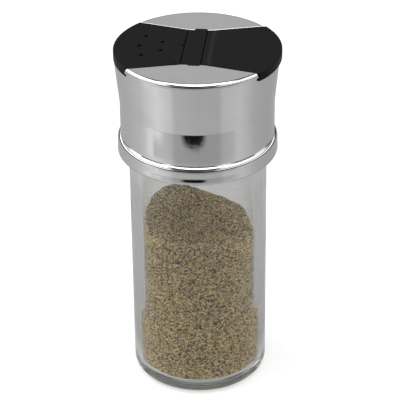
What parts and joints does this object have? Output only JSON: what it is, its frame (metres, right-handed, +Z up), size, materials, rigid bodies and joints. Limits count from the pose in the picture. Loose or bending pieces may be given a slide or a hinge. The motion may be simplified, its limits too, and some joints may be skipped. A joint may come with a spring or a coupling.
{
  "type": "spice bottle",
  "caption": "Clear cylindrical spice bottle of ground pepper with a tall chrome-look screw cap whose black top insert has a shake flap and a pour flap on a centre bridge.",
  "frame": {"origin": "centre of the base, on the surface the bottle stands on", "axes": "+Z up the bottle's axis, +X from the centre of the cap towards the pour flap, +Y away from the viewer of the front"},
  "size_m": [0.0514, 0.0516, 0.1139],
  "materials": {
    "clear_glass": "gloss",
    "pepper": "matte",
    "seal_foam": "matte",
    "black_plastic": "satin",
    "plated_plastic": "polished"
  },
  "bodies": {
    "jar": {"jar": "clear_glass", "ground_pepper": "pepper"},
    "seal": {"mouth_gasket": "seal_foam"},
    "cap": {"cap_shell": "plated_plastic", "thread_sleeve": "black_plastic", "sifter_deck": "black_plastic", "hinge_bridge": "black_plastic"},
    "shake_flap": {"shake_flap": "black_plastic"},
    "pour_flap": {"pour_flap": "black_plastic"}
  },
  "joints": [
    {"name": "cap_lift", "type": "slide", "parent": "jar", "child": "seal", "axis": [0, 0, 1], "range_m": [0, 0.0189]},
    {"name": "cap_twist", "type": "hinge", "parent": "seal", "child": "cap", "pos_m": [0, 0, 0.09], "axis": [0, 0, 1], "range_deg": [0, 1620]},
    {"name": "shake_flap_hinge", "type": "hinge", "parent": "cap", "child": "shake_flap", "pos_m": [-0.00445, 0, 0.1132], "axis": [0, 1, 0], "range_deg": [0, 95]},
    {"name": "pour_flap_hinge", "type": "hinge", "parent": "cap", "child": "pour_flap", "pos_m": [0.00295, 0, 0.1132], "axis": [0, -1, 0], "range_deg": [0, 95]}
  ],
  "couplings": [
    {"joint": "cap_lift", "follows": "cap_twist", "m_per_rad": 0.00066845}
  ]
}
